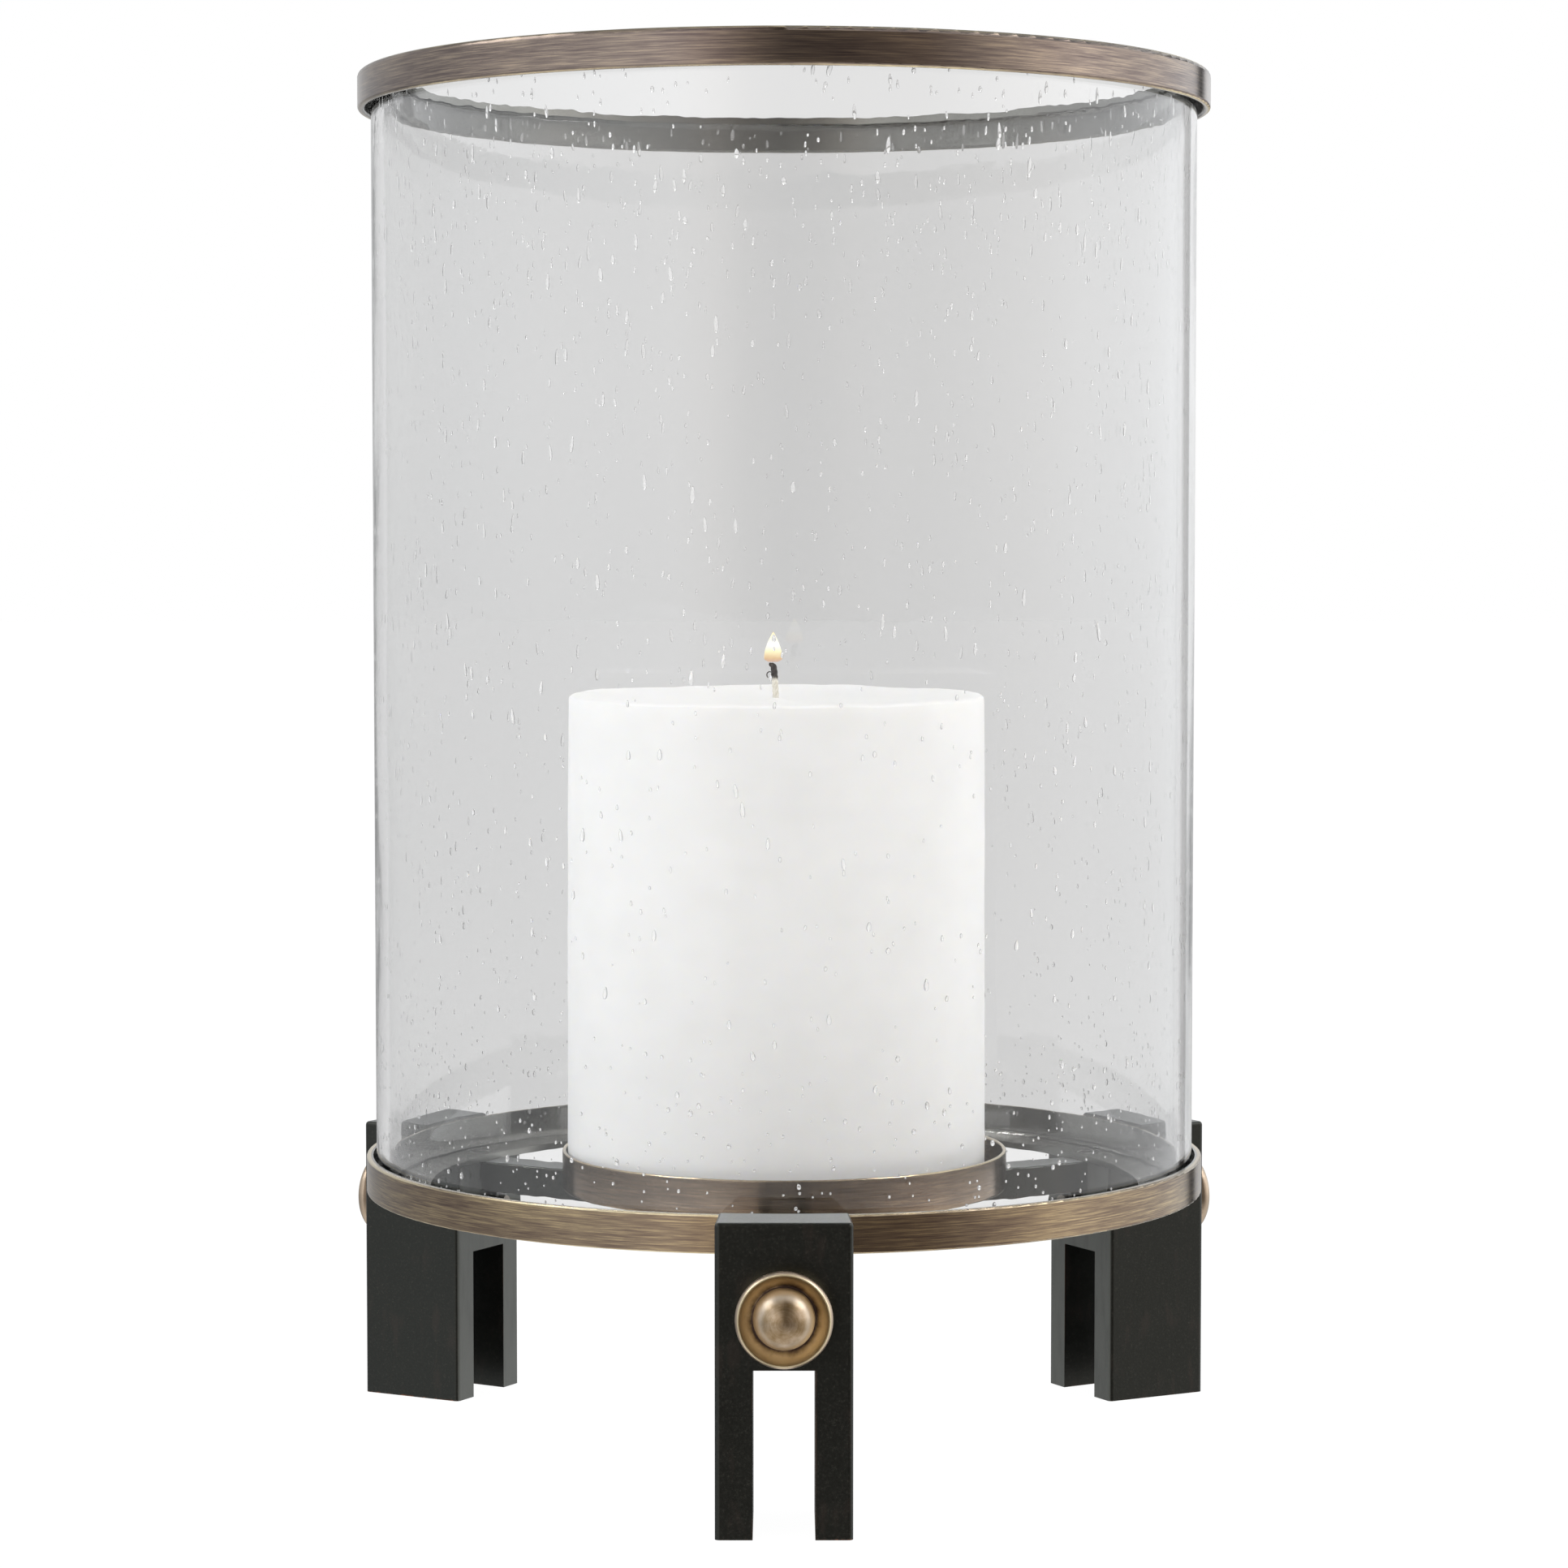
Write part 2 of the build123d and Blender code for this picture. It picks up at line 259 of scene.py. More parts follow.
def patinated_brass(name, dome):
    """Cast brass with blotchy patina, painted shade and light across the rosette's bowl, a pale crest that is
    partly rubbed bright and partly a painted highlight, and a painted reflection on the dome's sides.
    """
    made, tree = material(name)
    leg = leg_coordinates(tree)
    polish = tree.noise(leg.point, 900.0, 3.0)
    blotch = tree.noise(leg.point, 210.0, 5.0, 0.6)
    rings = tree.join(tree.math("MULTIPLY", leg.from_axis, 5200.0), leg.aside, blotch)
    turning = tree.noise(rings, 1.0, 3.0)
    if dome:
        tone = tree.math("MULTIPLY_ADD", blotch, 0.72, tree.math("MULTIPLY", turning, 0.2))
        colour = tree.ramp(
            tone, (0.34, (0.24, 0.165, 0.085)), (0.46, (0.34, 0.25, 0.155)),
            (0.58, (0.47, 0.365, 0.27)),
        )
        # Painted reflection: the dome's steep sides are lightened as if mirroring the bright bowl round them.
        flank_painted_reflection = tree.span(leg.from_axis, 5.2 * MM, 7.8 * MM)
        colour = tree.mix(tree.math("MULTIPLY", flank_painted_reflection, 0.7), colour, (0.86, 0.76, 0.64))
        skirt = tree.span(leg.outward, LEG_FACE + 3.3 * MM, LEG_FACE + 3.8 * MM, 1.0, 0.0)
        colour = tree.mix(skirt, colour, (0.30, 0.27, 0.24))
        rough = tree.math("MULTIPLY_ADD", polish, 0.2, 0.28)
        fine = 0.03 * MM
    else:
        # Painted shade and light: the bowl is darkened into the groove round the dome and brightened toward
        # its lip; the blotches add patina tone.
        bowl = tree.span(leg.from_axis, 8.6 * MM, 12.4 * MM, smooth=False)
        bowl = tree.math("MULTIPLY_ADD", tree.math("SUBTRACT", blotch, 0.5), 0.75, bowl)
        colour = tree.ramp(
            bowl, (0.08, (0.10, 0.066, 0.056)), (0.32, (0.50, 0.37, 0.21)),
            (0.56, (0.84, 0.67, 0.41)), (1.0, (0.92, 0.78, 0.52)),
        )
        back = tree.span(leg.from_axis, 12.65 * MM, 12.95 * MM)
        colour = tree.mix(back, colour, tree.mix(blotch, (0.36, 0.275, 0.205), (0.52, 0.425, 0.325)))
        # The pale line along the lip's crest is partly rubbed-bright brass and partly a painted highlight.
        crest = tree.near(leg.from_axis, 12.55 * MM, 0.34 * MM)
        crown = tree.span(leg.outward, LEG_FACE + 6.3 * MM, LEG_FACE + 6.8 * MM)
        colour = tree.mix(tree.math("MULTIPLY", crest, crown), colour, (0.92, 0.82, 0.56))
        rough = tree.math("MULTIPLY_ADD", polish, 0.22, 0.24)
        fine = 0.04 * MM
    normal = tree.bump(polish, fine, 0.6, tree.bump(blotch, 0.12 * MM, 0.35))
    shader = tree.surface(Base_Color=colour, Metallic=1.0, Roughness=rough, Normal=normal)
    shader.inputs["Anisotropic"].default_value = 0.3
    shader.inputs["Anisotropic Rotation"].default_value = 0.25
    tree.links.new(leg.tangent, shader.inputs["Tangent"])
    return made


def black_iron(name):
    """Blackened iron: a dry, faintly speckled coat that has worn to brown along its edges."""
    made, tree = material(name)
    leg = leg_coordinates(tree)
    speck = tree.noise(leg.point, 1500.0, 3.0, 0.7)
    cloud = tree.noise(leg.point, 70.0, 5.0, 0.6)
    scuff = tree.noise(tree.vector("MULTIPLY", leg.point, (300.0, 300.0, 60.0)), 1.0, 4.0)
    colour = tree.ramp(
        speck, (0.38, (0.0008, 0.0008, 0.0007)), (0.58, (0.003, 0.003, 0.0025)),
        (0.76, (0.022, 0.020, 0.016)),
    )
    warm = tree.span(tree.math("MULTIPLY", cloud, scuff), 0.27, 0.42)
    colour = tree.mix(tree.math("MULTIPLY", warm, 0.35), colour, (0.021, 0.011, 0.009))
    rounded = tree.add("Bevel", {"Radius": 0.9 * MM}, samples=6).outputs[0]
    flat = tree.add("NewGeometry").outputs["True Normal"]
    sharp = tree.math("SUBTRACT", 1.0, tree.vector("DOT_PRODUCT", rounded, flat))
    wear = tree.math("MULTIPLY", tree.span(sharp, 0.02, 0.2), tree.span(scuff, 0.42, 0.66))
    colour = tree.mix(tree.math("MULTIPLY", wear, 0.8), colour, (0.085, 0.042, 0.026))
    from_corner = tree.math("ADD", leg.aside, -16.5 * MM)
    spot = tree.vector("LENGTH", tree.join(from_corner, tree.math("MULTIPLY", leg.height, 0.5), 0.0))
    rust = tree.math("MULTIPLY", tree.span(spot, 1.5 * MM, 4.5 * MM, 1.0, 0.0), tree.span(scuff, 0.4, 0.55))
    rust = tree.math("MULTIPLY", rust, wear)
    colour = tree.mix(rust, colour, (0.30, 0.10, 0.03))
    face = tree.add("NewGeometry").outputs["Normal"]
    # Painted light: the faces turned toward the holder's axis are given a lighter grey.
    inner_face_painted_light = tree.span(tree.vector("DOT_PRODUCT", face, leg.direction), -0.95, -0.6, 1.0, 0.0)
    inner_face_painted_light = tree.math("MULTIPLY", inner_face_painted_light, tree.span(scuff, 0.2, 0.6, 0.75, 1.0))
    colour = tree.mix(inner_face_painted_light, colour, (0.084, 0.087, 0.081))
    # Painted reflection: faces that look up get a pale grey sheen, patchy with the cloud noise.
    upper = tree.span(tree.add("SeparateXYZ", {0: face}).outputs[2], 0.85, 0.98)
    top_painted_sheen = tree.math("MULTIPLY", upper, tree.span(cloud, 0.25, 0.6, 0.8, 1.0))
    colour = tree.mix(top_painted_sheen, colour, (0.155, 0.163, 0.163))
    rough = tree.math("MULTIPLY_ADD", speck, 0.18, 0.22)
    rough = tree.math("MULTIPLY_ADD", cloud, 0.12, rough)
    normal = tree.bump(speck, 0.05 * MM, 0.5, tree.bump(cloud, 0.35 * MM, 0.3))
    shader = tree.surface(Base_Color=colour, Roughness=rough, Normal=normal)
    shader.inputs["Specular IOR Level"].default_value = 0.42
    shader.inputs["Specular Tint"].default_value = (0.96, 1, 0.91, 1)
    return made


def dark_steel(name):
    """Oiled black steel of the screws and nuts, rubbed bare here and there."""
    made, tree = material(name)
    point = tree.place()[0]
    grain = tree.noise(point, 1400.0, 4.0, 0.65)
    rub = tree.noise(point, 420.0, 4.0)
    tone = tree.math("MULTIPLY_ADD", rub, 0.7, tree.math("MULTIPLY", grain, 0.3))
    colour = tree.ramp(tone, (0.42, (0.10, 0.10, 0.10)), (0.60, (0.26, 0.255, 0.245)))
    rough = tree.math("MULTIPLY_ADD", grain, 0.25, 0.22)
    tree.surface(Base_Color=colour, Metallic=1.0, Roughness=rough, Normal=tree.bump(grain, 0.03 * MM, 0.5))
    return made


def seeded_glass(name, tint):
    """Clear, faintly grey glass. The walls are a little wavy, as blown glass is, and more so near
    both ends."""
    made, tree = material(name)
    shader = tree.surface()
    settings = {"Base Color": (tint, tint, tint, 1), "Roughness": 0.0, "IOR": 1.5, "Transmission Weight": 1.0}
    for socket, value in settings.items():
        shader.inputs[socket].default_value = value
    point, _, _, z = tree.place()
    slow = tree.noise(tree.vector("MULTIPLY", point, (16.0, 16.0, 9.0)), 1.0, 2.0, 0.4)
    quick = tree.noise(tree.vector("MULTIPLY", point, (90.0, 90.0, 40.0)), 1.0, 2.0, 0.4)
    foot = tree.span(z, GLASS_LOW.z + 6 * MM, GLASS_LOW.z + 30 * MM, 0.5, 0.0)
    mouth = tree.span(z, GLASS_HIGH.z - 30 * MM, GLASS_HIGH.z - 8 * MM)
    ripple = tree.noise(tree.vector("MULTIPLY", point, (70.0, 70.0, 90.0)), 1.0, 2.0, 0.5)
    ripple = tree.math("MULTIPLY", ripple, tree.math("MAXIMUM", foot, mouth))
    normal = tree.bump(quick, 0.03 * MM, 0.5, tree.bump(ripple, 0.2 * MM, 0.5))
    tree.links.new(tree.bump(slow, 0.55 * MM, 0.5, normal), shader.inputs["Normal"])
    return made


def seed_walls(name):
    """The inside of a bubble: mostly clear; its dull white share is a painted glint, for the light that
    bubbles catch.
    """
    made, tree = material(name)
    shader = tree.surface()
    settings = {"Base Color": (1, 1, 1, 1), "Roughness": 0.03, "IOR": 1.42, "Transmission Weight": 0.85}
    for socket, value in settings.items():
        shader.inputs[socket].default_value = value
    return made


def candle_wax(name):
    """White pillar wax, slightly translucent: faint frosting, handling marks and a faint warm glow from the
    flame painted on its top.
    """
    made, tree = material(name)
    point, _, _, z = tree.place()
    frost = tree.noise(point, 55.0, 6.0, 0.62)
    pits = tree.noise(point, 1300.0, 3.0, 0.6)
    sweep = tree.noise(tree.vector("MULTIPLY", point, (60.0, 60.0, 260.0)), 1.0, 4.0)
    tone = tree.math("MULTIPLY_ADD", frost, 0.7, tree.math("MULTIPLY", sweep, 0.3))
    colour = tree.ramp(tone, (0.35, (0.865, 0.867, 0.86)), (0.65, (0.915, 0.917, 0.912)))
    # Painted light: the flame's warm glow, painted on the top 6 mm of the wax.
    warm = tree.span(z, WAX_HIGH.z - 6 * MM, WAX_HIGH.z, 0.0, 0.35)
    colour = tree.mix(warm, colour, (0.935, 0.93, 0.91))
    rough = tree.math("MULTIPLY_ADD", frost, 0.2, 0.36)
    normal = tree.bump(pits, 0.03 * MM, 0.35, tree.bump(frost, 0.4 * MM, 0.25))
    shader = tree.surface(Base_Color=colour, Roughness=rough, Normal=normal)
    shader.inputs["Subsurface Weight"].default_value = 0.35
    shader.inputs["Subsurface Radius"].default_value = (0.9, 0.8, 0.6)
    shader.inputs["Subsurface Scale"].default_value = 4 * MM
    shader.inputs["Specular IOR Level"].default_value = 0.2
    return made


def wick_cotton(name, char_height):
    """Waxed cotton braid, pale at the foot and burnt black above."""
    made, tree = material(name)
    point, _, _, z = tree.place()
    fibre = tree.noise(tree.vector("MULTIPLY", point, (2600.0, 2600.0, 900.0)), 1.0, 4.0)
    edge = tree.math("MULTIPLY_ADD", tree.math("SUBTRACT", fibre, 0.5), 2.4 * MM, z)
    burnt = tree.span(edge, char_height - 0.7 * MM, char_height + 0.5 * MM)
    cotton = tree.ramp(fibre, (0.35, (0.66, 0.62, 0.52)), (0.65, (0.90, 0.88, 0.80)))
    char = tree.ramp(fibre, (0.35, (0.006, 0.005, 0.005)), (0.70, (0.05, 0.035, 0.032)))
    colour = tree.mix(burnt, cotton, char)
    tree.surface(Base_Color=colour, Roughness=0.85, Normal=tree.bump(fibre, 0.12 * MM, 0.8))
    return made


def flame_glow(name, low, high):
    """A small candle flame: orange at the skirt, then a hot pale body, yellower at the tip."""
    made, tree = material(name)
    point, _, _, z = tree.place()
    flicker = tree.noise(point, 350.0, 2.0)
    height = tree.span(z, low, high, smooth=False)
    height = tree.math("MULTIPLY_ADD", tree.math("SUBTRACT", flicker, 0.5), 0.12, height)
    colour = tree.ramp(
        height, (0.0, (0.93, 0.50, 0.36)), (0.16, (0.98, 0.70, 0.40)), (0.36, (1.0, 0.92, 0.58)),
        (0.58, (1.0, 1.0, 0.93)), (0.82, (1.0, 0.97, 0.72)), (1.0, (0.98, 0.80, 0.48)),
    )
    strength = tree.span(height, 0.0, 0.5, 0.95, 1.5)
    glow = tree.add("Emission", {"Color": colour, "Strength": strength})
    clear = tree.add("BsdfTransparent")
    alpha = tree.span(height, -0.02, 0.22, 0.35, 1.0)
    both = tree.add("MixShader", {0: alpha, 1: clear.outputs[0], 2: glow.outputs[0]})
    output = tree.add("OutputMaterial")
    tree.links.new(both.outputs[0], output.inputs[0])
    return made


# ------------------------------------------------------------------ meshes
def object_from(name, vertices, faces, made):
    """A smooth-shaded piece."""
    mesh = bpy.data.meshes.new(name)
    mesh.from_pydata([tuple(v) for v in vertices], [], faces)
    mesh.update()
    mesh.materials.append(made)
    mesh.polygons.foreach_set("use_smooth", [True] * len(mesh.polygons))
    piece = bpy.data.objects.new(name, mesh)
    scene.collection.objects.link(piece)
    return piece


def lathe(profile, centre, segments, wobble):
    """Turns (radius, height) pairs round a vertical axis. wobble(radius, height, angle) says how far
    a point moves out and up. The first and the last pair are on the axis."""
    vertices = [(centre.x, centre.y, profile[0][1])]
    for radius, height in profile[1:-1]:
        for step in range(segments):
            angle = 2 * math.pi * step / segments
            out, rise = wobble(radius, height, angle)
            r = radius + out
            vertices.append((centre.x + r * math.cos(angle), centre.y + r * math.sin(angle), height + rise))
    vertices.append((centre.x, centre.y, profile[-1][1]))
    rings = len(profile) - 2
    faces = []
    for step in range(segments):
        after = (step + 1) % segments
        faces.append((0, 1 + after, 1 + step))
        for ring in range(rings - 1):
            a, b = 1 + ring * segments, 1 + (ring + 1) * segments
            faces.append((a + step, a + after, b + after, b + step))
        last = 1 + (rings - 1) * segments
        faces.append((len(vertices) - 1, last + step, last + after))
    return vertices, faces


def make_candle():
    """A pillar with a softened rim, small sags in its edge and a shallow burnt hollow."""
    low, high, base = WAX_LOW.z, WAX_HIGH.z, WAX_RADIUS
    top = base - 0.5 * MM
    corner = 1.3 * MM
    profile = [
        (0, low), (base * 0.5, low), (base - 2.2 * MM, low),
        (base - 0.9 * MM, low + 0.3 * MM), (base - 0.25 * MM, low + 1.2 * MM),
    ]
    steps = 46
    for step in range(1, steps):
        t = step / steps
        rise = (high - low - 3.5 * MM) * t
        profile.append((base - 0.2 * MM + (top - base) * t, low + 1.6 * MM + rise))
    for degrees in range(0, 91, 15):
        turn = math.radians(degrees)
        out, up = corner * math.cos(turn), corner * math.sin(turn)
        profile.append((top - 1.5 * MM + out, high - 1.7 * MM + up))
    for r, drop in ((59.4, 0.5), (57.6, 0.85), (55.0, 1.35), (51.0, 1.8), (45.0, 2.25), (38.0, 2.6),
                    (30.0, 2.85), (22.0, 2.95), (14.0, 3.0), (8.0, 2.9), (4.5, 2.6), (2.6, 2.1), (1.6, 1.7)):
        profile.append((r * MM, high - drop * MM))
    profile.append((0, high - 2.6 * MM))

    def wobble(radius, height, angle):
        x, y = math.cos(angle), math.sin(angle)
        depth = high - height
        slope = -1.0 * MM * (1 - y * radius / top) * max(0.0, 1 - depth / (12 * MM))
        rim = max(0.0, 1 - abs(radius - top + 1.3 * MM) / (7 * MM)) * max(0.0, 1 - depth / (9 * MM))
        sag = noise.noise(Vector((x * 2.1 + 4, y * 2.1, 0.3))) * 0.55
        sag += noise.noise(Vector((x * 6, y * 6, 2.0))) * 0.3
        sag += 0.12 * noise.noise(Vector((x * 19, y * 19, 5.0)))
        swell = noise.noise(Vector((x * 1.6, y * 1.6, height * 14))) * 0.16
        pool = 0.0
        if height > high - 3 * MM and radius < top - 5 * MM:
            pool = noise.noise(Vector((x * radius * 60, y * radius * 60, 9.0))) * 0.35
        side = 1.0 if radius > base - 2.5 * MM else 0.0
        sunk = rim * (sag - 0.32) + pool * min(1.0, radius / (12 * MM))
        return swell * side * MM - rim * 0.12 * MM, sunk * MM + slope

    vertices, faces = lathe(profile, WAX_CENTRE, 192, wobble)
    piece = object_from("pillar_candle", vertices, faces, candle_wax("pillar_wax"))
    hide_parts("candle_wax")
    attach(piece, "candle")


def sweep(path, radius, sides=8):
    """A tube round a list of points, its ends closed flat. radius(t) is for t from 0 to 1."""
    vertices, faces = [], []
    count = len(path)
    for index, point in enumerate(path):
        ahead = path[min(index + 1, count - 1)] - path[max(index - 1, 0)]
        ahead.normalize()
        first = ahead.cross(Vector((0.3, 1, 0.1))).normalized()
        second = ahead.cross(first)
        size = radius(index / (count - 1))
        for side in range(sides):
            turn = 2 * math.pi * side / sides
            vertices.append(point + size * (math.cos(turn) * first + math.sin(turn) * second))
    for index in range(count - 1):
        for side in range(sides):
            after = (side + 1) % sides
            a, b = index * sides, (index + 1) * sides
            faces.append((a + side, a + after, b + after, b + side))
    faces.append(tuple(reversed(range(sides))))
    faces.append(tuple(range((count - 1) * sides, count * sides)))
    return vertices, faces


def make_wick():
    """Three strands twisted round a wick that leans a little and curls over at its tip."""
    foot, tip = WAX_HIGH.z - 7.8 * MM, WICK_HIGH.z + 0.9 * MM
    vertices, faces = [], []
    samples = 70

    def line(t):
        lean = -0.9 * MM * t * t - 1.5 * MM * max(0.0, t - 0.86) * 4
        height = foot + (tip - foot) * (t if t < 0.9 else 0.9 + (t - 0.9) * 0.5)
        return WAX_CENTRE + Vector((lean, -0.5 * MM * t, height))

    for strand in range(3):
        path = []
        for step in range(samples):
            t = step / (samples - 1)
            turn = 2 * math.pi * (strand / 3 + t * 3.4)
            path.append(line(t) + 0.5 * MM * Vector((math.cos(turn), math.sin(turn), 0)))
        ring, sides = sweep(path, lambda t: MM * 0.56 * min(1.0, math.sqrt(max(0.02, (1 - t) * 14))))
        offset = len(vertices)
        vertices += ring
        faces += [tuple(i + offset for i in face) for face in sides]
    # A loose thread that has curled away from the braid.
    curl = []
    for step in range(26):
        t = step / 25
        turn = math.radians(-60 + 300 * t)
        away = Vector((-1.5 - 0.9 * math.cos(turn), -0.4, 0.2 + 0.95 * math.sin(turn)))
        curl.append(line(0.72) + MM * away)
    ring, sides = sweep(curl, lambda t: MM * 0.2 * (1 - 0.4 * t), 6)
    offset = len(vertices)
    vertices += ring
    faces += [tuple(i + offset for i in face) for face in sides]
    piece = object_from("braided_wick", vertices, faces, wick_cotton("wick_braid", WICK_HIGH.z - 4.5 * MM))
    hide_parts("wick")
    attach(piece, "candle")


FLAME_HEIGHT = 9.5 * MM


def make_flame():
    """A small teardrop round the wick's tip."""
    low = WICK_HIGH.z + 0.1 * MM
    high = low + FLAME_HEIGHT
    profile = [(0, low + 0.5 * MM)]
    for step in range(1, 30):
        t = step / 30
        width = math.sin(math.pi * min(1.0, t * 0.62 + 0.36)) ** 0.8 * (1 - t) ** 0.22
        width *= min(1.0, math.sqrt(t * 9))
        profile.append((2.95 * MM * width, low + (high - low) * t))
    profile.append((0, high))
    centre = WAX_CENTRE + Vector((-0.9 * MM, -0.5 * MM, 0))

    def wobble(radius, height, angle):
        return 0.1 * MM * noise.noise(Vector((math.cos(angle), math.sin(angle), height * 300))), 0.0

    vertices, faces = lathe(profile, centre, 40, wobble)
    piece = object_from("flame", vertices, faces, flame_glow("flame_glow", low, high))
    piece.visible_shadow = False
    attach(piece, "candle")


SEED_COUNT = 4200
SEED_DRAW = 20261
SEED_END_GAP = 1.4 * MM  # least glass between a bubble and either end of the cylinder


def make_seeds(made):
    """Air bubbles shut in the glass wall: teardrops drawn out upward, rounder near the foot. Their
    faces look into the bubble, since that is where the glass ends."""
    rng = random.Random(SEED_DRAW)
    middle = GLASS_RADIUS - 2.0 * MM
    height = GLASS_HIGH.z - GLASS_LOW.z
    templates = []
    for level in (2, 3):
        ball = bmesh.new()
        bmesh.ops.create_icosphere(ball, subdivisions=level, radius=1.0)
        ball.verts.ensure_lookup_table()
        shape = np.array([v.co for v in ball.verts])
        turned = np.array([[v.index for v in reversed(f.verts)] for f in ball.faces])
        templates.append((shape, turned))
        ball.free()
    placed = np.zeros((0, 3))
    vertices, faces, offset = [], [], 0
    while len(placed) < SEED_COUNT:
        large = rng.random() < 0.22
        width = rng.uniform(0.44, 0.74) if large else rng.triangular(0.22, 0.5, 0.32)
        share = rng.random()
        if rng.random() < 0.42:
            share = rng.choice((share ** 3.0, 0.14 * share, 1 - share ** 2.4, 1 - 0.16 * share))
        stretch = rng.uniform(1.5, 4.2) if large else rng.uniform(1.2, 3.4)
        stretch = 1 + (stretch - 1) * min(1.0, 0.1 + share * 1.7)
        angle = rng.uniform(0, 2 * math.pi)
        z = GLASS_LOW.z + 1.5 * MM + share * (height - 4 * MM)
        depth = rng.uniform(-1, 1) * (1.75 - 0.5 * width) * MM
        tilt = rng.gauss(0, 0.09)
        length = width * stretch * MM
        z = min(max(z, GLASS_LOW.z + length + SEED_END_GAP), GLASS_HIGH.z - length - SEED_END_GAP)
        where = np.array([angle * middle, z, length])
        if len(placed):
            apart = np.abs(placed[:, 0] - where[0])
            apart = np.minimum(apart, 2 * math.pi * middle - apart)
            clash = np.hypot(apart, placed[:, 1] - z) < (placed[:, 2] + length) * 0.8
            if clash.any():
                continue
        placed = np.vstack([placed, where])
        size = 1 if width > 0.5 else 0
        shape, turned = templates[size]
        local = shape * np.array([1.0, 0.44, stretch]) * width * MM
        taper = 1 - 0.26 * shape[:, 2] * min(1.0, (stretch - 1) * 0.8)
        local[:, 0] *= taper
        local[:, 1] *= taper
        side = local[:, 0] * math.cos(tilt) - local[:, 2] * math.sin(tilt)
        up = local[:, 0] * math.sin(tilt) + local[:, 2] * math.cos(tilt)
        r = middle + depth + local[:, 1]
        turn = angle + side / middle
        vertices.append(np.stack([r * np.cos(turn), r * np.sin(turn), z + up], axis=1))
        faces.append(turned + offset)
        offset += len(shape)
    piece = object_from("glass_seeds", np.concatenate(vertices), np.concatenate(faces).tolist(), made)
    piece.visible_shadow = False
    piece.visible_diffuse = False
    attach(piece, "shade")


# ------------------------------------------------------------------ studio
# The studio's walls by direction: degrees to the right from the camera's side, level, and warmth
# (red over blue). The levels were chosen by measured tones for this one view, and the
# short dark stretch near 150 degrees makes the dark line at the right end of each ring.
WALLS = (
    (-180, 0.70, 1.0), (-150, 0.62, 0.97), (-125, 0.75, 0.95), (-100, 0.85, 0.93), (-80, 0.98, 0.94),
    (-60, 1.30, 0.95), (-45, 1.50, 0.96), (-30, 1.75, 1.0), (-20, 1.35, 1.12), (-10, 0.55, 1.2),
    (0, 0.22, 1.2), (12, 0.20, 1.25), (25, 0.28, 1.3), (38, 0.38, 1.3), (50, 0.75, 1.12), (62, 1.15, 1.08),
    (75, 1.55, 1.06), (88, 1.90, 1.0), (110, 1.75, 0.97), (135, 1.6, 0.95), (144.5, 1.2, 0.96),
    (147.0, 0.02, 1.2), (153.0, 0.02, 1.2), (155.0, 1.1, 0.97), (180, 0.80, 1.0),
)


def make_world():
    """The studio. Metal sees its walls, from the table above; rays through the glass see white
    behind the holder; and the camera sees plain white."""
    world = bpy.data.worlds.new("studio")
    scene.world = world
    tree = Tree(world)
    direction = tree.add("TexCoord").outputs["Generated"]
    x, y, z = tree.add("SeparateXYZ", {0: direction}).outputs
    azimuth = tree.math("ARCTAN2", x, tree.math("MULTIPLY", y, -1.0))
    turn = tree.math("MULTIPLY_ADD", azimuth, 1 / (2 * math.pi), 0.5)
    stops = []
    for degrees, level, warm in WALLS:
        colour = (level * warm ** 0.5, level, level / warm ** 0.5)
        # Halved here and doubled below, because a ramp's colours end at 1.
        stops.append((degrees / 360 + 0.5, tuple(c / 2 for c in colour)))
    walls = tree.ramp(turn, *stops)
    elevation = tree.ramp(
        tree.math("MULTIPLY_ADD", z, 0.5, 0.5), (0.30, 0.6), (0.46, 0.66), (0.52, 1.0), (0.71, 1.0),
        (0.80, 0.55), (0.94, 0.55), (1.0, 0.7),
    )
    walls = tree.mix(1.0, walls, elevation, "MULTIPLY")
    walls = tree.mix(1.0, walls, (2, 2, 2), "MULTIPLY")
    walls = tree.mix(tree.span(z, -0.3, -0.75), walls, (1.05, 1.03, 1.0))
    path = tree.add("LightPath").outputs
    aside = tree.span(tree.math("ABSOLUTE", azimuth), math.radians(95), math.radians(150), 0.45, 1.0)
    behind = tree.math("MULTIPLY", path["Is Transmission Ray"], aside)
    seen = tree.math("MAXIMUM", path["Is Camera Ray"], behind)
    colour = tree.mix(seen, walls, (1, 1, 1))
    background = tree.add("Background", {"Color": colour, "Strength": 1.0})
    output = tree.add("OutputWorld")
    tree.links.new(background.outputs[0], output.inputs[0])


def make_lamp(name, location, target, size, power, lights, shines, sparkles):
    """lights: it lights dull surfaces. shines: metal reflects it. sparkles: it shows through glass."""
    data = bpy.data.lights.new(name, "AREA")
    data.shape = "DISK"
    data.size = size
    data.energy = power
    lamp = bpy.data.objects.new(name, data)
    lamp.location = location
    lamp.rotation_euler = (Vector(target) - Vector(location)).to_track_quat("-Z", "Y").to_euler()
    lamp.visible_diffuse = lights
    lamp.visible_glossy = shines
    lamp.visible_transmission = sparkles
    scene.collection.objects.link(lamp)


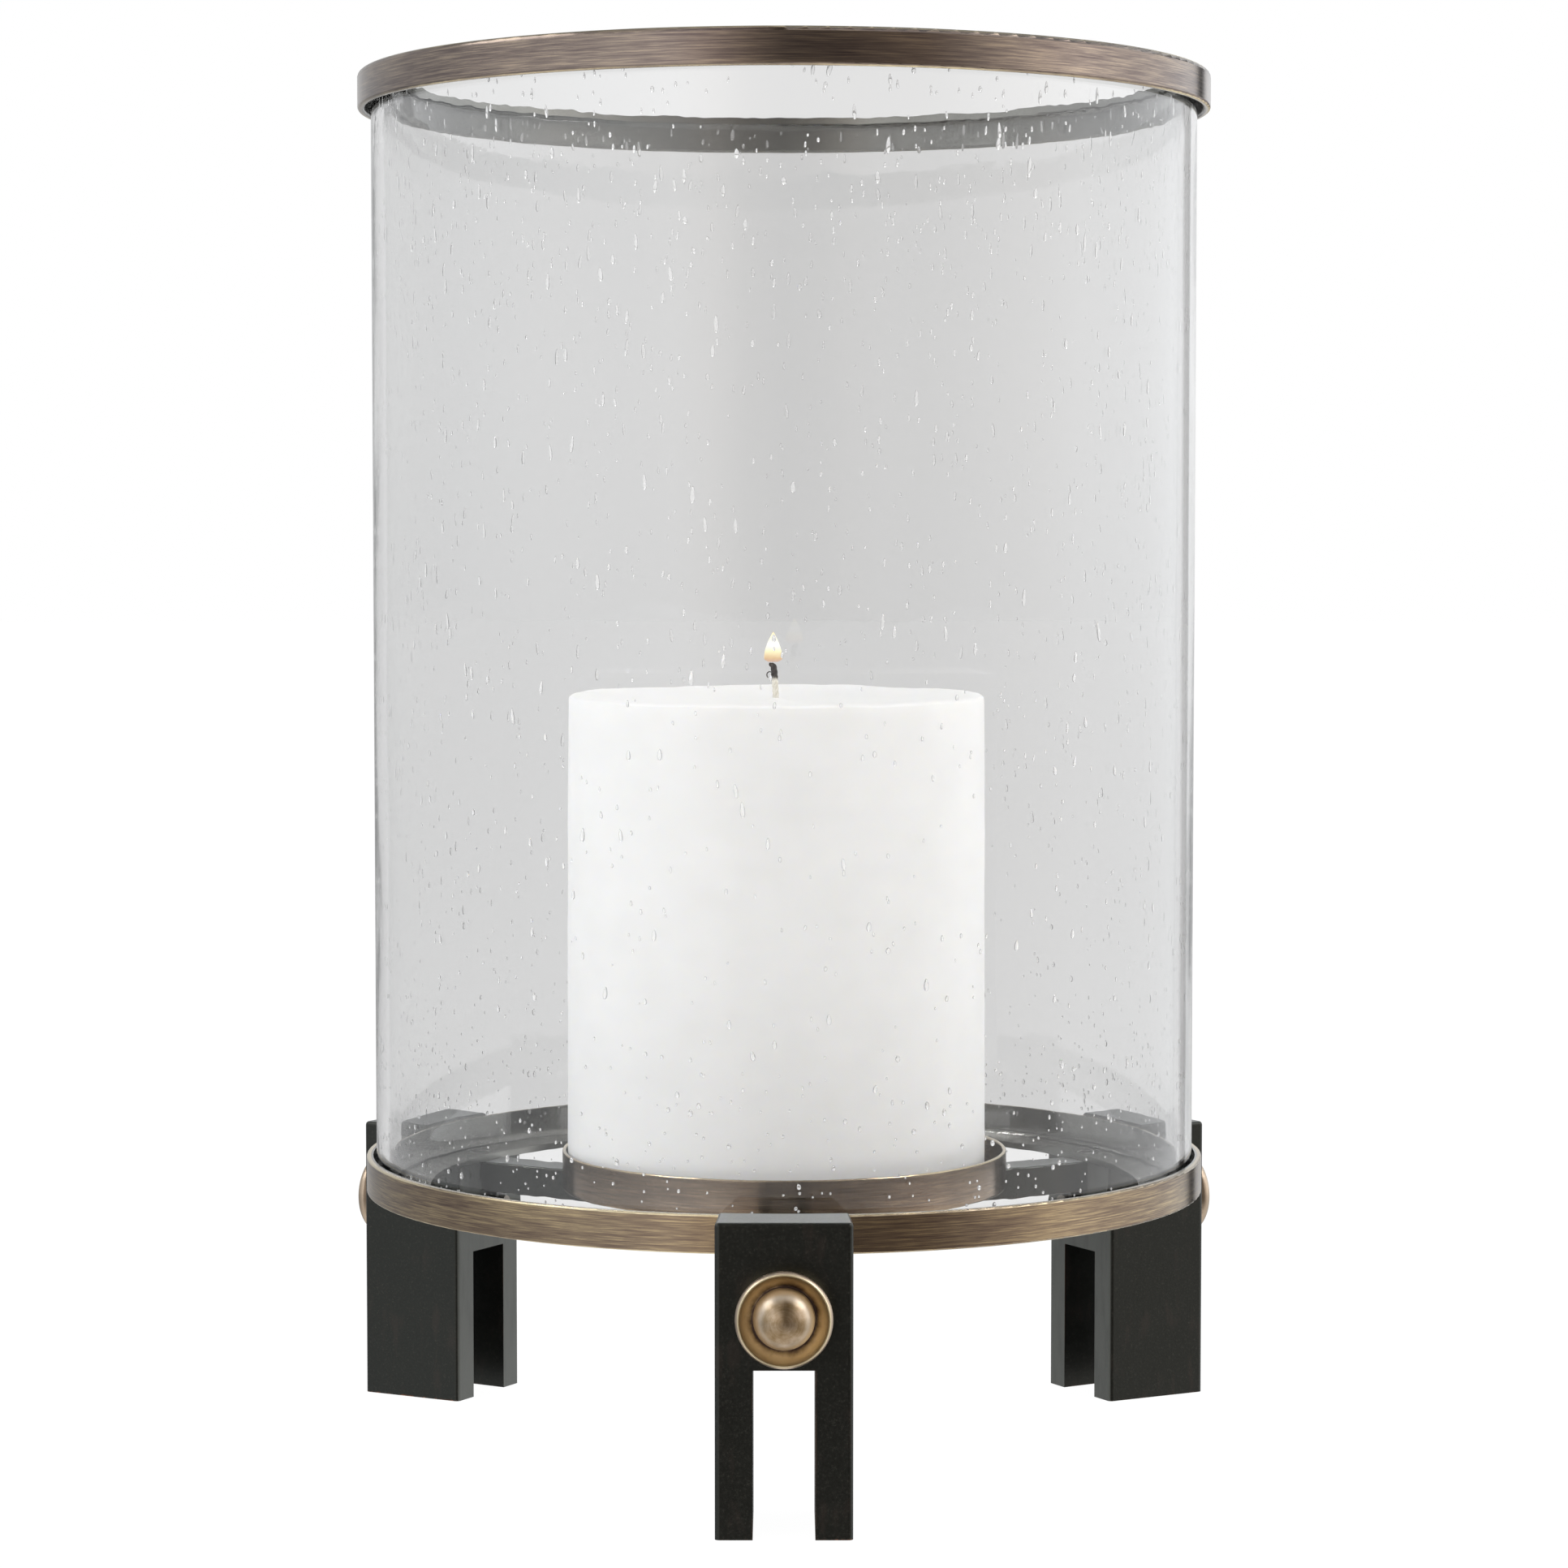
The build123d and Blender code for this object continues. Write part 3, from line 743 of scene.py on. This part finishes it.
def make_floor():
    """A pale floor that gives its own light and isn't reflected, so it shows almost no shadow."""
    made, tree = material("studio_floor")
    point = tree.place()[0]
    grain = tree.noise(point, 120.0, 4.0)
    colour = tree.ramp(grain, (0.3, 0.045), (0.7, 0.055))
    shader = tree.surface(Base_Color=colour, Roughness=0.9)
    shader.inputs["Specular IOR Level"].default_value = 0.0
    shader.inputs["Emission Color"].default_value = (1, 1, 1, 1)
    shader.inputs["Emission Strength"].default_value = 0.985
    mesh = bpy.data.meshes.new("studio_floor")
    maker = bmesh.new()
    bmesh.ops.create_circle(maker, cap_ends=True, segments=96, radius=14.0)
    maker.to_mesh(mesh)
    maker.free()
    mesh.materials.append(made)
    floor = bpy.data.objects.new("studio_floor", mesh)
    scene.collection.objects.link(floor)
    floor.visible_glossy = False


def set_studio():
    """World, floor, lamps, and how light bounces."""
    make_world()
    make_floor()
    middle = (0, 0, 0.2)
    make_lamp("overhead", (0, -0.3, 1.9), middle, 1.2, 5, True, False, False)
    pairs = (
        ("fill", 1.7, -1.4, 0.9, 1.0, 12.5, True, False, False),
        ("softbox", 1.55, -0.15, 1.5, 1.1, 9, True, True, False),
        ("sparkle", 1.5, -0.6, 1.6, 0.9, 60, False, False, True),
    )
    for kind, x, y, z, size, power, lights, shines, sparkles in pairs:
        for side, sign in (("left", -1), ("right", 1)):
            place = (sign * x, y, z)
            make_lamp(kind + "_" + side, place, middle, size, power, lights, shines, sparkles)
    make_lamp("sparkle_behind", (0.2, 1.5, 1.9), middle, 0.8, 14, False, False, True)
    scene.view_settings.view_transform = "Standard"
    scene.view_settings.look = "None"
    scene.cycles.caustics_reflective = False
    scene.cycles.caustics_refractive = False
    scene.cycles.max_bounces = 24
    scene.cycles.transmission_bounces = 24
    scene.cycles.transparent_max_bounces = 16


# ------------------------------------------------------------------ the holder
def dress_frame():
    """Materials for the CAD nodes that are shown as they are."""
    # pale is the rings' edge line: partly rubbed-off brass, partly a painted highlight.
    pale = (0.72, 0.62, 0.42)
    golden = (0.13, 0.090, 0.074), (0.245, 0.182, 0.125), (0.45, 0.345, 0.205), pale
    purple = (0.118, 0.092, 0.088), (0.215, 0.172, 0.148), (0.37, 0.295, 0.225), pale
    ruddy = (0.175, 0.128, 0.100), (0.305, 0.230, 0.172), (0.46, 0.355, 0.25), pale
    dress("base_ring", brushed_brass("base_ring_brass", BASE_LOW, BASE_HIGH, BASE_HIGH.x, *golden, 3.1))
    dress("rim_ring", brushed_brass("rim_ring_brass", RIM_LOW, RIM_HIGH, RIM_HIGH.x, *purple, 11.7))
    dress("candle_cup", brushed_brass("cup_brass", CUP_LOW, CUP_HIGH, CUP_RADIUS, *ruddy, 23.9))
    rosette, dome = patinated_brass("rosette_brass", False), patinated_brass("dome_brass", True)
    iron, steel = black_iron("blackened_iron"), dark_steel("oiled_steel")
    for leg in ("front", "rear_left", "rear_right"):
        dress("rosette_" + leg, rosette)
        dress("dome_bolt_" + leg, dome)
        dress("leg_" + leg, iron)
    dress("spider_frame", iron)
    for name in ("ring_screws", "cup_screw", "hex_nuts"):
        dress(name, steel)
    dress("glass_cylinder", seeded_glass("seeded_glass", 0.80))
    nodes["glass_cylinder"].visible_shadow = False
    nodes["glass_cylinder"].visible_diffuse = False


make_camera()
set_studio()
dress_frame()
make_seeds(seed_walls("seed_walls"))
make_candle()
make_wick()
make_flame()
